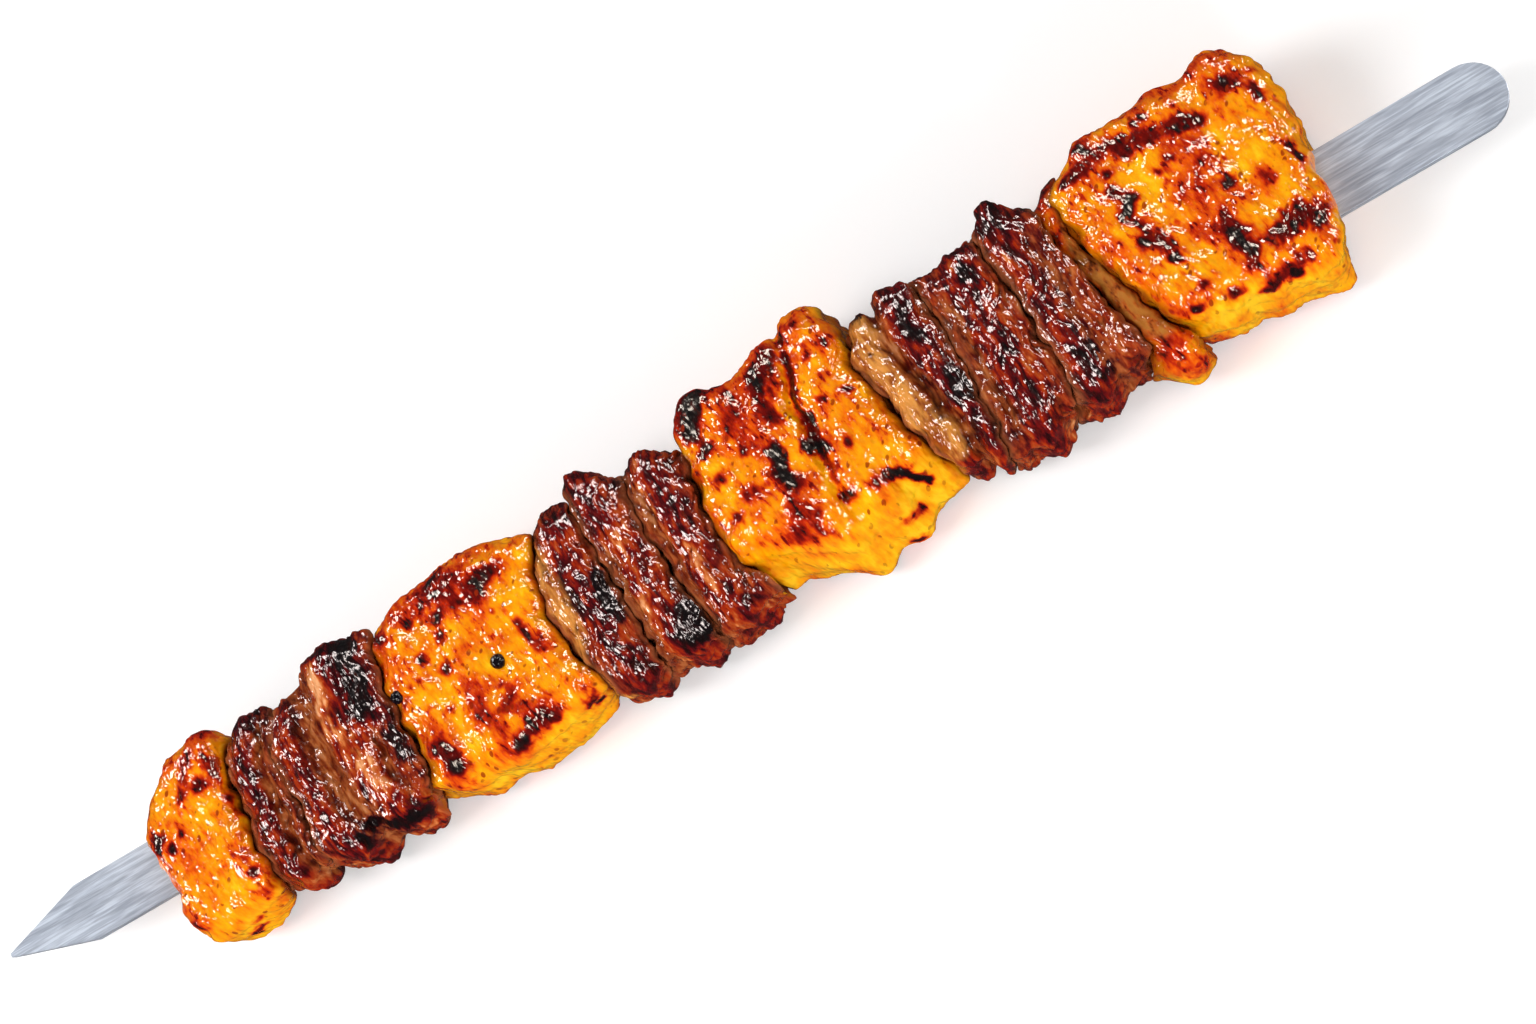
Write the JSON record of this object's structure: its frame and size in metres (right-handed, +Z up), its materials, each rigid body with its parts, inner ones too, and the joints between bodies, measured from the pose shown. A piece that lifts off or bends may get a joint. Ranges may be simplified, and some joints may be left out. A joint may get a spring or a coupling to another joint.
{
  "type": "beef and chicken kebab skewer",
  "caption": "Grilled beef and yellow-marinated chicken kebab threaded on a flat pointed steel skewer, lying down.",
  "frame": {"origin": "under the middle of the whole kebab, on the surface that it lies on", "axes": "+X along the blade from its point to its round end, +Y across it, +Z up from the surface"},
  "size_m": [0.33, 0.0508, 0.0311],
  "materials": {
    "steel": "brushed lengthwise, slightly greasy",
    "chicken": "oily yellow-orange marinade with red-brown and black grill marks",
    "beef": "oily seared brown with dark red and black crust",
    "pepper": "whole black peppercorn, wrinkled"
  },
  "bodies": {
    "root": {"skewer": "steel", "chicken_1": "chicken", "beef_1a": "beef", "beef_1b": "beef", "chicken_2": "chicken", "beef_2a": "beef", "beef_2b": "beef", "beef_2c": "beef", "chicken_3": "chicken", "beef_3a": "beef", "beef_3b": "beef", "beef_3c": "beef", "chicken_slice": "chicken", "chicken_4": "chicken"}
  },
  "joints": []
}
